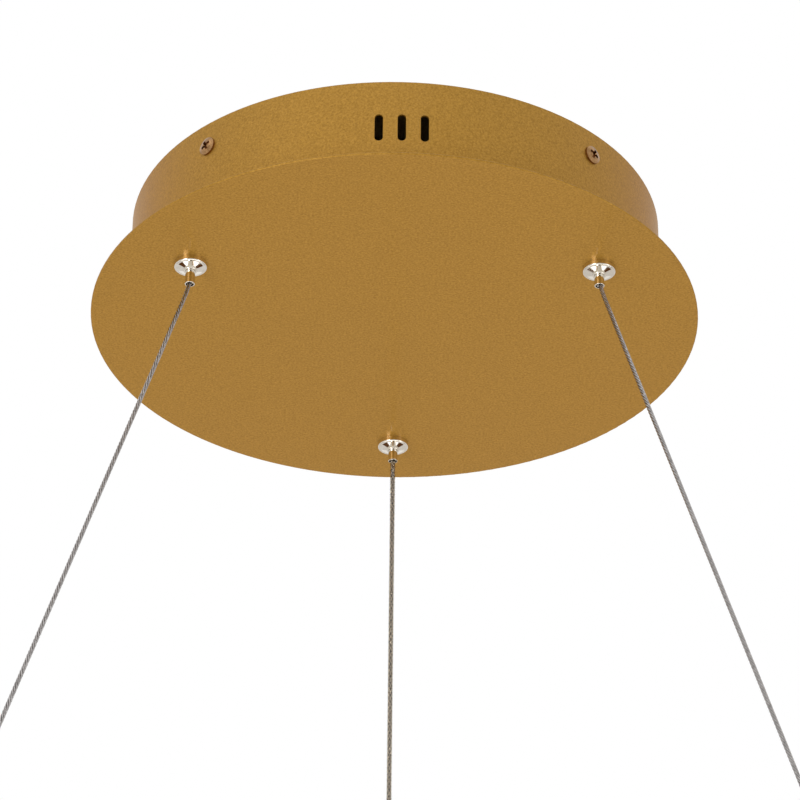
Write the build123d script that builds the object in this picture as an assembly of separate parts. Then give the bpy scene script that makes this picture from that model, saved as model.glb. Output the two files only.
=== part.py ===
from build123d import *
import os
from math import atan2, cos, degrees, radians, sin, sqrt, tan

# A light ring hung from a round ceiling canopy by two wire ropes and one power cable.
# Millimetres, +Z up. The origin is the middle of the ceiling plane: the canopy's rim and
# its mounting pan touch z = 0, and everything hangs below. The front, with one row of
# vents, faces -Y.

# ---------------------------------------------------------------- canopy cover
canopy_height = 45.0          # ceiling to the underside of the bottom plate
plate_diameter = 250.0
plate_thickness = 1.0
plate_edge_round = 0.3
drum_diameter = 220.0
drum_wall = 1.0
drum_edge_round = 0.3

vent_width = 3.3
vent_length = 12.5
vent_pitch = 9.0              # along the wall
vent_depth = 21.9             # ceiling to the middle of a vent
vents_in_row = 3

cover_screw_angle = 44.0      # each side of the front and of the back
cover_screw_depth = 11.5      # ceiling to the screw's axis
cover_thread = 4.0
cover_screw_length = 12.0
cover_head_diameter = 7.6
cover_head_edge = 0.8
cover_head_height = 1.7
cover_cross_turns = (24.0, 68.0, 41.0, 12.0)   # how each cross recess happens to stand
cross_length = 4.4
cross_width = 1.2
cross_depth = 1.3

tab_count = 6
tab_width = 12.0
tab_length = 11.0
tab_stud_inset = 6.0          # drum's inner wall to the stud's axis
stud_thread = 4.0
stud_height = 8.0
stud_nut_flats = 7.0
stud_nut_height = 3.2

screw_clearance = 0.25        # radial, round a plain screw hole
thread_clearance = 0.05       # radial, between a thread and its nut

# ---------------------------------------------------------------- ceiling pan
pan_thickness = 1.2
pan_gap = 0.4                 # radial, inside the drum
pan_bead_radius = 97.0
pan_bead_depth = 1.4
ear_width = 14.0
ear_length = 18.0
ear_relief = 1.2
ear_relief_depth = 4.0
ear_nut_diameter = 8.0
ear_nut_length = 4.0
ceiling_slot_spacing = 120.0
ceiling_slot_length = 16.0
ceiling_slot_width = 5.5
mains_hole_diameter = 24.0
grommet_bore = 18.0
grommet_lip = 1.5             # radial reach over the pan's edge
grommet_lip_height = 1.6
grommet_fit = 0.1

# ---------------------------------------------------------------- LED driver
driver_length = 110.0
driver_width = 38.0
driver_height = 25.0
driver_wall = 1.8
driver_lid_thickness = 1.8
driver_y = 45.0
driver_lug_length = 12.0
driver_lug_width = 20.0
driver_lug_thickness = 2.5
driver_board_thickness = 1.6
driver_board_gap = 1.5        # board to the case's side walls
driver_board_drop = 17.0      # pan to the board
driver_fit = 0.2
transformer_size = (18.0, 20.0, 9.0)
input_capacitor_size = (9.0, 14.0)     # diameter and length
output_capacitor_size = (8.0, 12.0)
filter_coil_size = (7.0, 5.0)
switch_chip_size = (8.0, 5.0, 2.0)
component_gap = 4.0           # between the components along the board
component_shift = 4.0         # each side of the board's middle line
lead_height_drop = 14.0       # ceiling to the leads at the driver's ends

pan_stud_thread = 3.0
pan_stud_spare = 1.4          # thread showing past its nut
pan_nut_flats = 5.5
pan_nut_height = 2.4

# ---------------------------------------------------------------- terminal block and earth
pole_pitch = 11.0
pole_count = 3
terminal_width = 20.0
terminal_height = 15.0
terminal_y = -45.0
terminal_end = 5.5            # last pole's axis to the block's end
insert_diameter = 5.0
insert_bore = 3.0
insert_inset = 1.0            # block's side to the insert's end
insert_depth = 7.8            # pan to the insert's axis
terminal_screw_diameter = 3.0
terminal_screw_spacing = 9.0
terminal_fit = 0.1
earth_x = 38.0
lug_diameter = 8.0
lug_thickness = 0.8
lug_neck = 3.0
lug_barrel_diameter = 3.6
lug_barrel_length = 7.0

lead_diameter = 2.2
lead_fit = 0.05

# ---------------------------------------------------------------- wire grippers
gripper_inset = 14.5          # drum's inner wall to a gripper's axis
gripper_turn = -1.1           # the plate's turn against the drum, degrees
gripper_angles = {"left": -150.0 + gripper_turn, "right": -30.0 + gripper_turn, "rear": 90.0 + gripper_turn}
flange_diameter = 13.2
flange_thickness = 2.4
flange_edge_round = 0.5
flange_rim = 1.2              # flat edge of the face, before its cone starts
flange_cone = 0.7             # how far the flange's face falls to its hub
hub_diameter = 5.4
hub_height = 0.9
hub_edge_round = 0.3
shank_diameter = 10.0
shank_length = 16.0
shank_hole_clearance = 0.15
gripper_nut_flats = 14.0
gripper_nut_height = 4.0
gripper_washer_diameter = 17.0
gripper_washer_thickness = 1.0

sleeve_diameter = 4.0
sleeve_reach = {"left": 7.7, "right": 6.3, "rear": 6.8}   # below the flange's edge
sleeve_edge_round = 0.15
sleeve_mouth = 0.35           # how much wider the bore gets at its mouth
sleeve_mouth_depth = 2.5
sleeve_shoulder_diameter = 5.0
sleeve_shoulder_height = 1.0
sleeve_nose_wall = 0.25
ledge_height = 2.0            # plate's underside up to the sleeve's seat
running_clearance = 0.05
stop_gap = 0.1
wire_bore_clearance = 0.35

chamber_diameter = 5.2
chamber_height = 3.0
taper_diameter = 6.8
taper_height = 6.0
ball_diameter = 1.6
ball_count = 3
cup_thickness = 0.8
cup_diameter = 5.0
spring_outer = 5.2
spring_wire = 0.5
bush_height = 2.0
bush_bore = 3.0

# ---------------------------------------------------------------- wires
rope_diameter = 1.8
cable_diameter = 2.2
wire_drop = 614.0             # left sleeve's mouth down to the seat in its anchor
wire_upright = 4.0            # how far a wire hangs upright before it leans, at both ends
rope_stop_diameter = 4.2
rope_stop_length = 6.0
rope_tail_spare = 2.0

# ---------------------------------------------------------------- light ring
ring_diameter = 600.0
ring_width = 20.0
ring_height = 35.0
ring_wall = 1.5
ring_cell_height = 10.0       # closed cell that holds the joining keys
ring_edge_round = 0.6
ring_seam_gap = 0.1
groove_depth = 0.5
groove_height = 1.2
groove_rise = 6.0             # ring's lower edge to the groove
diffuser_thickness = 2.0      # opal arcs that snap into the channel's grooves
diffuser_leg = 1.2
diffuser_fit = 0.1
board_width = 12.0
board_thickness = 1.2
led_count = 120
led_length = 3.5
led_width = 2.8
led_height = 0.8

key_reach = 6.0               # degrees each side of a seam
key_fit = 0.2
key_screw_angle = 3.5         # degrees from the seam
key_screw_diameter = 4.0
key_screw_length = 5.0
key_screw_socket = 2.0

anchor_diameter = 10.0
anchor_height = 11.0
anchor_mouth_depth = 3.5
anchor_mouth_angle = 24.0
anchor_throat = 3.6
anchor_bore = 2.8
anchor_top_round = 1.5
anchor_thread = 5.0
anchor_shank = 9.0
anchor_screw_diameter = 3.0
anchor_screw_height = 4.0     # above the anchor's foot
rivet_diameter = 7.0
rivet_flange_diameter = 10.0
rivet_flange_thickness = 0.8
rivet_length = 9.2
wire_end_gap = 0.3            # between the moving wire and the stretch fixed in the ring
rope_end_length = 13.0

# ---------------------------------------------------------------- worked out
front, back = -90.0, 90.0
plate_low = -canopy_height
plate_top = plate_low + plate_thickness
drum_radius = drum_diameter / 2
drum_inner = drum_radius - drum_wall
pan_radius = drum_inner - pan_gap
pan_low = -pan_thickness
gripper_radius = drum_inner - gripper_inset
flange_low = plate_low - flange_thickness
hub_low = flange_low - flange_cone - hub_height
ledge = plate_low + ledge_height
shank_top = plate_low + shank_length
taper_low = ledge + chamber_height
taper_top = taper_low + taper_height
wire_diameters = {"left": rope_diameter, "right": rope_diameter, "rear": cable_diameter}
mouths = {side: flange_low - reach for side, reach in sleeve_reach.items()}
pivot = mouths["left"] - wire_drop
ring_top = pivot - (rivet_flange_thickness + anchor_height - anchor_mouth_depth)
ring_low = ring_top - ring_height
ring_middle_radius = (ring_diameter - ring_width) / 2
seam_angles = (gripper_turn, gripper_turn + 180.0)
cover_screw_angles = [side + turn for side in (front, back)
                      for turn in (-cover_screw_angle, cover_screw_angle)]
tab_angles = tuple(gripper_angles["rear"] + 30.0 + 60.0 * number for number in range(tab_count))
tab_stud_radius = drum_inner - tab_stud_inset


# ---------------------------------------------------------------- small helpers
def spot(angle, radius=0.0, z=0.0):
    """A place at an angle round Z, with its own X pointing outwards."""
    return Rot(Z=angle) * Pos(radius, 0, z)


def turned(points, arc=360.0, rounds=None):
    """A solid of revolution round Z from (radius, z) corners, some of them rounded: {corner: radius}."""
    face = make_face(Polyline(*[(radius, 0, z) for radius, z in points], close=True))
    for number, size in (rounds or {}).items():
        place = Vector(points[number][0], 0, points[number][1])
        corner = min(face.vertices(), key=lambda vertex: (Vector(*vertex) - place).length)
        face = fillet(corner, size)
    return revolve(face, Axis.Z, arc)


def disc(diameter, low, high, bore=0.0):
    """A round bar or washer standing on Z."""
    solid = Pos(0, 0, (low + high) / 2) * Cylinder(diameter / 2, high - low)
    if bore:
        solid -= Pos(0, 0, (low + high) / 2) * Cylinder(bore / 2, high - low)
    return solid


def hex_nut(flats, low, high, bore):
    """A hexagon nut standing on Z."""
    body = Pos(0, 0, low) * extrude(RegularPolygon(flats / sqrt(3), 6), high - low)
    return body - disc(bore, low, high)


def between(x, y, z):
    """A box from its lowest and highest values along X, Y and Z."""
    middle = Pos((x[0] + x[1]) / 2, (y[0] + y[1]) / 2, (z[0] + z[1]) / 2)
    return middle * Box(x[1] - x[0], y[1] - y[0], z[1] - z[0])


def lead(name, points, diameter):
    """A wire along straight runs that wide arcs join."""
    corners = [Vector(*point) for point in points]
    radii = []
    for before, corner, after in zip(corners, corners[1:], corners[2:]):
        turn = (corner - before).get_angle(after - corner)
        shorter = min((corner - before).length, (after - corner).length)
        radii.append(0.45 * shorter / tan(radians(turn / 2)))
    path = FilletPolyline(*points, radius=radii)
    start = Plane(origin=path @ 0, z_dir=path % 0)
    tube = sweep(start * Circle(diameter / 2), path=path)
    section = Circle(diameter / 2).area
    share = tube.volume / (section * path.length)
    print(f"{name}: length {path.length:.1f} mm, least bend {min(radii):.1f} mm, volume share {share:.3f}")
    return tube


def save(name, *solids):
    """Write one named piece, or one group of like pieces."""
    shape = solids[0] if len(solids) == 1 else Compound(children=list(solids))
    export_step(shape, f"parts/{name}.step")


os.makedirs("parts", exist_ok=True)


# ---------------------------------------------------------------- cover: drum and bottom plate
def radial_slot(angle, z, length, width):
    """A cutter for an upright slot through the drum's wall."""
    side = Plane(origin=(0, 0, z), x_dir=(0, 0, 1), z_dir=(1, 0, 0))
    cutter = extrude(side * SlotOverall(length, width), drum_radius + drum_wall)
    return Rot(Z=angle) * cutter


def radial_hole(angle, z, diameter):
    """A cutter for a round hole through the drum's wall."""
    return Rot(Z=angle) * Pos(drum_radius, 0, z) * Rot(Y=90) * Cylinder(diameter / 2, 4 * drum_wall)


drum = turned([(drum_inner, plate_top), (drum_radius, plate_top), (drum_radius, 0), (drum_inner, 0)],
              rounds={2: drum_edge_round})
tab_hole = disc(stud_thread + 2 * screw_clearance, plate_top, plate_top + drum_wall)
for angle in tab_angles:
    tab = between((drum_inner - tab_length, drum_radius - drum_wall / 2), (-tab_width / 2, tab_width / 2),
                  (plate_top, plate_top + drum_wall))
    drum += Rot(Z=angle) * tab
    drum -= spot(angle, tab_stud_radius) * tab_hole
vent_step = degrees(vent_pitch / drum_radius)
for side in (front, back):
    for number in range(vents_in_row):
        turn = (number - (vents_in_row - 1) / 2) * vent_step
        drum -= radial_slot(side + turn, -vent_depth, vent_length, vent_width)
for angle in cover_screw_angles:
    drum -= radial_hole(angle, -cover_screw_depth, cover_thread + 2 * screw_clearance)
save("canopy_drum", drum)

plate = disc(plate_diameter, plate_low, plate_top)
plate = fillet(plate.edges().filter_by(GeomType.CIRCLE), plate_edge_round)
shank_hole = disc(shank_diameter + 2 * shank_hole_clearance, plate_low, plate_top)
for angle in gripper_angles.values():
    plate -= spot(angle, gripper_radius) * shank_hole
save("canopy_plate", plate)

stud = disc(stud_thread, plate_top, plate_top + stud_height)
stud_nut = hex_nut(stud_nut_flats, plate_top + drum_wall, plate_top + drum_wall + stud_nut_height,
                   stud_thread + 2 * thread_clearance)
save("plate_studs", *[spot(angle, tab_stud_radius) * stud for angle in tab_angles])
save("plate_stud_nuts", *[spot(angle, tab_stud_radius) * stud_nut for angle in tab_angles])


# ---------------------------------------------------------------- ceiling pan
def ceiling_slots():
    """Cutters for the two slots that take the ceiling screws."""
    outline = SlotOverall(ceiling_slot_length, ceiling_slot_width)
    slot = Pos(0, 0, pan_low) * extrude(outline, pan_thickness)
    return [Pos(x, 0, 0) * slot for x in (-ceiling_slot_spacing / 2, ceiling_slot_spacing / 2)]


pan = disc(2 * pan_radius, pan_low, 0)
bead = Torus(pan_bead_radius, pan_bead_depth + pan_thickness)
bead_low = -pan_bead_depth - pan_thickness
bead &= between((-pan_radius, pan_radius), (-pan_radius, pan_radius), (bead_low, 0))
pan += bead
pan -= Torus(pan_bead_radius, pan_bead_depth)
ear_hole = Pos(pan_radius - pan_thickness / 2, 0, -cover_screw_depth) * Rot(Y=90) * Cylinder(
    cover_thread / 2 + screw_clearance, 2 * pan_thickness)
ear_face = pan_radius - pan_thickness
ear = between((ear_face, pan_radius), (-ear_width / 2, ear_width / 2), (-ear_length, 0)) - ear_hole
for angle in cover_screw_angles:
    for side in (-1, 1):
        low, high = sorted((side * ear_width / 2, side * (ear_width / 2 + ear_relief)))
        relief = between((pan_radius - ear_relief_depth, drum_radius), (low, high), (pan_low, 0))
        pan -= Rot(Z=angle) * relief
    corner = between((ear_face, drum_radius), (-ear_width / 2, ear_width / 2), (pan_low, 0))
    pan -= Rot(Z=angle) * corner
    pan += Rot(Z=angle) * ear
pan -= disc(mains_hole_diameter, pan_low, 0)
for cutter in ceiling_slots():
    pan -= cutter
save("ceiling_pan", pan)

ear_nut = Pos(ear_face - ear_nut_length / 2, 0, -cover_screw_depth) * Rot(Y=90) * (
    Cylinder(ear_nut_diameter / 2, ear_nut_length)
    - Cylinder(cover_thread / 2 + thread_clearance, ear_nut_length))
save("ear_nuts", *[Rot(Z=angle) * ear_nut for angle in cover_screw_angles])


def cross_recess():
    """A cutter for the cross in a screw head whose top is at z = 0."""
    half_long, half_wide = cross_length / 2, cross_width / 2
    wing = between((-half_long, half_long), (-half_wide, half_wide), (-cross_depth, cross_depth))
    core = Pos(0, 0, -cross_depth / 2) * Cone(half_wide, cross_width, cross_depth)
    return wing + Rot(Z=90) * wing + core


def cover_screw(turn):
    """A pan-head screw along Z, its head's underside at z = 0."""
    radius, edge, height = cover_head_diameter / 2, cover_head_edge, cover_head_height
    side = Line((radius, 0, 0), (radius, 0, edge))
    rise = height - edge
    crown_radius = (radius ** 2 + rise ** 2) / (2 * rise)
    shoulder = (radius / 2, 0, height - crown_radius + sqrt(crown_radius ** 2 - radius ** 2 / 4))
    crown = ThreePointArc((radius, 0, edge), shoulder, (0, 0, height))
    axis = Line((0, 0, height), (0, 0, 0))
    base = Line((0, 0, 0), (radius, 0, 0))
    head = revolve(make_face(side + crown + axis + base), Axis.Z)
    head -= Pos(0, 0, height) * Rot(Z=turn) * cross_recess()
    return head + disc(cover_thread, -cover_screw_length, 0)


save("cover_screws", *[Rot(Z=angle) * Pos(drum_radius, 0, -cover_screw_depth) * Rot(Y=90) * cover_screw(turn)
                       for angle, turn in zip(cover_screw_angles, cover_cross_turns)])

hole_radius = mains_hole_diameter / 2
lip_low, lip_top = pan_low - grommet_lip_height, pan_low - grommet_fit / 2
grommet = turned([
    (grommet_bore / 2, lip_low), (hole_radius + grommet_lip, lip_low), (hole_radius + grommet_lip, lip_top),
    (hole_radius - grommet_fit, lip_top), (hole_radius - grommet_fit, 0), (grommet_bore / 2, 0)])
save("mains_grommet", grommet)

# ---------------------------------------------------------------- LED driver
half_length, half_width = driver_length / 2, driver_width / 2
driver_low = pan_low - driver_height
lid_top = driver_low + driver_lid_thickness
driver_box = between((-half_length, half_length), (-half_width, half_width), (lid_top, pan_low))
driver_case = driver_box - between((-half_length + driver_wall, half_length - driver_wall),
                                   (-half_width + driver_wall, half_width - driver_wall),
                                   (lid_top, pan_low - driver_wall))
lug_middle = half_length + driver_lug_length / 2
stud_hole = disc(pan_stud_thread + 2 * screw_clearance, lid_top, pan_low)
lead_hole = Rot(Y=90) * Cylinder(lead_diameter / 2 + driver_fit, 4 * driver_wall)
live_y, neutral_y = driver_y - 2.0, driver_y - 10.0
for side in (-1, 1):
    lug = Pos(side * lug_middle, 0, pan_low - driver_lug_thickness / 2) * Box(
        driver_lug_length, driver_lug_width, driver_lug_thickness)
    driver_case += lug
    driver_case -= Pos(side * lug_middle, 0, 0) * stud_hole
for offset in (live_y - driver_y, neutral_y - driver_y):
    driver_case -= Pos(-half_length, offset, -lead_height_drop) * lead_hole
driver_case -= Pos(half_length, 0, -lead_height_drop) * lead_hole
save("driver_case", Pos(0, driver_y, 0) * driver_case)
lid = between((-half_length, half_length), (-half_width, half_width), (driver_low, lid_top))
save("driver_lid", Pos(0, driver_y, 0) * lid)

board_low = pan_low - driver_board_drop
board_half_length = half_length - driver_wall - driver_board_gap
board_half_width = half_width - driver_wall - driver_fit
board = between((-board_half_length, board_half_length), (-board_half_width, board_half_width),
                (board_low, board_low + driver_board_thickness))
save("driver_board", Pos(0, driver_y, 0) * board)
parts_low = board_low + driver_board_thickness


def lying_can(x, y, size):
    """A capacitor lying along X on the board."""
    diameter, length = size
    return Pos(x, y, parts_low + diameter / 2) * Rot(Y=90) * Cylinder(diameter / 2, length)


input_x = -transformer_size[0] / 2 - component_gap - input_capacitor_size[1] / 2
coil_x = input_x - input_capacitor_size[1] / 2 - component_gap - filter_coil_size[0] / 2
output_x = transformer_size[0] / 2 + component_gap + output_capacitor_size[1] / 2
chip_x = output_x + output_capacitor_size[1] / 2 + component_gap + switch_chip_size[0] / 2
transformer = Pos(0, 0, parts_low + transformer_size[2] / 2) * Box(*transformer_size)
filter_coil = Pos(coil_x, component_shift, 0) * disc(
    filter_coil_size[0], parts_low, parts_low + filter_coil_size[1])
switch_chip = Pos(chip_x, component_shift, parts_low + switch_chip_size[2] / 2) * Box(*switch_chip_size)
save("driver_components", *[Pos(0, driver_y, 0) * piece for piece in (
    transformer, lying_can(input_x, component_shift, input_capacitor_size),
    lying_can(output_x, -component_shift, output_capacitor_size), filter_coil, switch_chip)])

# ---------------------------------------------------------------- studs on the pan
pole_offsets = [(number - (pole_count - 1) / 2) * pole_pitch for number in range(pole_count)]
terminal_stud_x = (pole_offsets[-1] + pole_offsets[-2]) / 2
pan_stud_places = (
    (-lug_middle, driver_y, driver_lug_thickness), (lug_middle, driver_y, driver_lug_thickness),
    (terminal_stud_x, terminal_y, terminal_height), (earth_x, terminal_y, lug_thickness))
nut_bore = pan_stud_thread + 2 * thread_clearance
pan_studs, pan_nuts = [], []
for x, y, clamped in pan_stud_places:
    seat = pan_low - clamped
    stud_end = seat - pan_nut_height - pan_stud_spare
    pan_studs.append(Pos(x, y, 0) * disc(pan_stud_thread, stud_end, pan_low))
    pan_nuts.append(Pos(x, y, 0) * hex_nut(pan_nut_flats, seat - pan_nut_height, seat, nut_bore))
save("pan_studs", *pan_studs)
save("pan_stud_nuts", *pan_nuts)

# ---------------------------------------------------------------- terminal block and earth lug
block_half = pole_offsets[-1] + terminal_end
insert_z = pan_low - insert_depth
terminal_low = pan_low - terminal_height
block = between((-block_half, block_half), (-terminal_width / 2, terminal_width / 2), (terminal_low, pan_low))
insert_length = terminal_width - 2 * insert_inset
insert = Rot(X=90) * (Cylinder(insert_diameter / 2, insert_length) - Cylinder(insert_bore / 2, insert_length))
screw_top = insert_z - insert_diameter / 2 - terminal_fit
inserts, block_screws = [], []
for x in pole_offsets:
    block -= Pos(x, 0, insert_z) * Rot(X=90) * Cylinder(insert_diameter / 2 + terminal_fit, terminal_width)
    inserts.append(Pos(x, terminal_y, insert_z) * insert)
    for side in (-1, 1):
        y = side * terminal_screw_spacing / 2
        block -= Pos(x, y, 0) * disc(terminal_screw_diameter + 2 * terminal_fit, terminal_low, insert_z)
        screw = disc(terminal_screw_diameter, terminal_low + 1, screw_top)
        screw -= Pos(0, 0, terminal_low + 1) * Box(terminal_screw_diameter, 0.6, 1.0)
        block_screws.append(Pos(x, terminal_y + y, 0) * screw)
block -= Pos(terminal_stud_x, 0, 0) * disc(pan_stud_thread + 2 * screw_clearance, terminal_low, pan_low)
save("terminal_block", Pos(0, terminal_y, 0) * block)
save("terminal_inserts", *inserts)
save("terminal_screws", *block_screws)

barrel_z = pan_low - lug_barrel_diameter / 2
barrel_start = terminal_y + lug_diameter / 2 - 0.6
barrel = Pos(earth_x, barrel_start + lug_barrel_length / 2, barrel_z) * Rot(X=90) * Cylinder(
    lug_barrel_diameter / 2, lug_barrel_length)
palm = Pos(earth_x, terminal_y, 0) * disc(lug_diameter, pan_low - lug_thickness, pan_low)
neck = between((earth_x - lug_neck / 2, earth_x + lug_neck / 2), (terminal_y, barrel_start + 1),
               (pan_low - lug_thickness, pan_low))
earth_lug = palm + neck + barrel
earth_lug -= Pos(earth_x, terminal_y, 0) * disc(pan_stud_thread + 2 * screw_clearance, pan_low - 4, pan_low)
earth_lug -= Pos(earth_x, barrel_start + lug_barrel_length, barrel_z) * Rot(X=90) * Cylinder(
    lead_diameter / 2 + lead_fit, 2 * (lug_barrel_length - 1))
save("earth_lug", earth_lug)

# ---------------------------------------------------------------- leads inside the canopy
lead_end_x = half_length - driver_wall - 2
block_edge = terminal_y + terminal_width / 2
wire_in = block_edge - 5
lead_z = -lead_height_drop
pole_live, pole_neutral, pole_earth = pole_offsets
live_route = [
    (pole_live, wire_in, insert_z), (pole_live, -24, insert_z), (-32, -6, -12), (-66, 6, -15), (-80, 26, -15),
    (-74, live_y, lead_z), (-lead_end_x, live_y, lead_z)]
neutral_route = [
    (pole_neutral, wire_in, insert_z), (pole_neutral, -22, insert_z), (-22, -3, -12), (-57, 9, -15),
    (-70, 23, -15), (-66, neutral_y, lead_z), (-lead_end_x, neutral_y, lead_z)]
earth_route = [
    (pole_earth, wire_in, insert_z), (pole_earth, -25, insert_z), (19, -15, -7), (32, -14, -4),
    (earth_x, -24, barrel_z), (earth_x, barrel_start + 2, barrel_z)]
save("live_lead", lead("live_lead", live_route, insert_bore - 0.8))
save("neutral_lead", lead("neutral_lead", neutral_route, insert_bore - 0.8))
save("earth_lead", lead("earth_lead", earth_route, lead_diameter))


# ---------------------------------------------------------------- wire grippers
def gripper_body():
    """Flange, hub, threaded shank and the stepped, tapered bore."""
    flange, hub = flange_diameter / 2, hub_diameter / 2
    sleeve_hole = sleeve_diameter / 2 + running_clearance
    thread = shank_diameter / 2 - thread_clearance
    return turned([
        (thread, shank_top), (thread, plate_low), (flange, plate_low), (flange, flange_low),
        (flange - flange_rim, flange_low),
        (hub, flange_low - flange_cone), (hub, hub_low), (sleeve_hole, hub_low), (sleeve_hole, ledge),
        (chamber_diameter / 2, ledge), (chamber_diameter / 2, taper_low), (taper_diameter / 2, taper_top),
        (taper_diameter / 2, shank_top)], rounds={3: flange_edge_round, 6: hub_edge_round})


def release_sleeve(mouth, nose_top, bore):
    """The tube that is pressed up: a widened mouth, a shoulder and a nose under the balls."""
    outer, shoulder = sleeve_diameter / 2, sleeve_shoulder_diameter / 2
    seat = ledge + stop_gap
    nose = bore / 2 + sleeve_nose_wall
    return turned([
        (bore / 2 + sleeve_mouth, mouth), (outer, mouth), (outer, seat), (shoulder, seat),
        (shoulder, seat + sleeve_shoulder_height), (nose, seat + sleeve_shoulder_height), (nose, nose_top),
        (bore / 2, nose_top), (bore / 2, mouth + sleeve_mouth_depth + sleeve_mouth),
        (bore / 2 + sleeve_mouth, mouth + sleeve_mouth_depth)], rounds={1: sleeve_edge_round})


for side, angle in gripper_angles.items():
    wire = wire_diameters[side]
    bore = wire + 2 * wire_bore_clearance
    ball_centre = (wire + ball_diameter) / 2 + running_clearance
    wedge = atan2(taper_diameter - chamber_diameter, 2 * taper_height)
    wanted = ball_centre + (ball_diameter / 2 + 3 * running_clearance) / cos(wedge)
    ball_z = taper_low + (2 * wanted - chamber_diameter) / (taper_diameter - chamber_diameter) * taper_height
    ball_z = max(ball_z, ledge + stop_gap + sleeve_shoulder_height + ball_diameter)
    nose_top = ball_z - ball_diameter / 2 - running_clearance
    cup_low = ball_z + ball_diameter / 2 + running_clearance
    cup_top = cup_low + cup_thickness
    place = spot(angle, gripper_radius)
    save(f"gripper_body_{side}", place * gripper_body())
    save(f"release_sleeve_{side}", place * release_sleeve(mouths[side], nose_top, bore))
    save(f"jaw_balls_{side}", *[place * spot(360 * number / ball_count, ball_centre, ball_z)
                                * Sphere(ball_diameter / 2) for number in range(ball_count)])
    save(f"spring_cup_{side}", place * disc(cup_diameter, cup_low, cup_top, bore))
    save(f"grip_spring_{side}", place * disc(spring_outer, cup_top + running_clearance,
                                             shank_top - bush_height - running_clearance,
                                             spring_outer - 2 * spring_wire))

bush = disc(taper_diameter - 2 * running_clearance, shank_top - bush_height, shank_top, bush_bore)
washer_top = plate_top + gripper_washer_thickness
washer = disc(gripper_washer_diameter, plate_top, washer_top, shank_diameter + 2 * shank_hole_clearance)
gripper_nut = hex_nut(gripper_nut_flats, washer_top, washer_top + gripper_nut_height, shank_diameter)
for name, piece in (("gripper_bushes", bush), ("gripper_washers", washer), ("gripper_nuts", gripper_nut)):
    save(name, *[spot(angle, gripper_radius) * piece for angle in gripper_angles.values()])


# ---------------------------------------------------------------- wires from canopy to ring
def hanging_wire(side):
    """A taut wire from a sleeve's mouth to the seat in its anchor, upright at both ends."""
    route = [
        (gripper_radius, 0, mouths[side]), (gripper_radius, 0, mouths[side] - wire_upright),
        (ring_middle_radius, 0, pivot + wire_upright), (ring_middle_radius, 0, pivot)]
    return Rot(Z=gripper_angles[side]) * lead(f"wire_{side}", route, wire_diameters[side])


save("rope_left", hanging_wire("left"))
save("rope_right", hanging_wire("right"))
save("power_cable", hanging_wire("rear"))

rope_sides = ("left", "right")
stop_top = shank_top + rope_stop_length
save("rope_tails", *[spot(gripper_angles[side], gripper_radius) * disc(rope_diameter, mouths[side], shank_top)
                     + spot(gripper_angles[side], gripper_radius)
                     * disc(rope_diameter, shank_top, stop_top + rope_tail_spare) for side in rope_sides])
save("rope_stops", *[spot(gripper_angles[side], gripper_radius)
                     * disc(rope_stop_diameter, shank_top, stop_top, rope_diameter + 2 * lead_fit)
                     for side in rope_sides])
rear_x = gripper_radius * cos(radians(gripper_angles["rear"]))
rear_y = gripper_radius * sin(radians(gripper_angles["rear"]))
cable_route = [
    (rear_x, rear_y, mouths["rear"]), (rear_x, rear_y, -20), (14, rear_y - 3, -12), (38, rear_y - 17, -12),
    (62, 66, -13),
    (74, 54, lead_z), (68, driver_y, lead_z), (lead_end_x, driver_y, lead_z)]
save("cable_tail", lead("cable_tail", cable_route, cable_diameter))

# ---------------------------------------------------------------- light ring
outer, inner = ring_diameter / 2, ring_diameter / 2 - ring_width
cell_top, cell_low = ring_top - ring_wall, ring_top - ring_wall - ring_cell_height
web_low = cell_low - ring_wall
groove_low = ring_low + groove_rise
groove_high = groove_low + groove_height


def half_ring(start, corners, rounds=None):
    """Half a ring from a seam's angle, cut short by half the seam's gap at each end."""
    cut = degrees(ring_seam_gap / ring_middle_radius)
    return Rot(Z=start + cut / 2) * turned(corners, 180.0 - cut, rounds)


def ring_channel(start):
    """Half of the channel: a closed cell over a trough that opens downwards."""
    wall_out, wall_in = outer - ring_wall, inner + ring_wall
    half = half_ring(start, [
        (outer, ring_low), (outer, ring_top), (inner, ring_top), (inner, ring_low), (wall_in, ring_low),
        (wall_in, groove_low), (wall_in - groove_depth, groove_low), (wall_in - groove_depth, groove_high),
        (wall_in, groove_high), (wall_in, web_low), (wall_out, web_low), (wall_out, groove_high),
        (wall_out + groove_depth, groove_high), (wall_out + groove_depth, groove_low), (wall_out, groove_low),
        (wall_out, ring_low)], rounds={1: ring_edge_round, 2: ring_edge_round})
    half -= half_ring(start, [(wall_in, cell_low), (wall_out, cell_low), (wall_out, cell_top), (wall_in, cell_top)])
    rivet_hole = disc(rivet_diameter + 2 * running_clearance, cell_top, ring_top)
    screw_hole = disc(key_screw_diameter + 2 * thread_clearance, cell_top, ring_top)
    for angle in gripper_angles.values():
        half -= spot(angle, ring_middle_radius) * rivet_hole
    half -= spot(gripper_angles["rear"], ring_middle_radius) * disc(anchor_bore, web_low, cell_low)
    for angle in key_screw_angles:
        half -= spot(angle, ring_middle_radius) * screw_hole
    return half


key_screw_angles = [seam + turn for seam in seam_angles for turn in (-key_screw_angle, key_screw_angle)]
ring_halves = dict(zip(("back", "front"), seam_angles))
for name, start in ring_halves.items():
    save(f"ring_channel_{name}", ring_channel(start))

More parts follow.
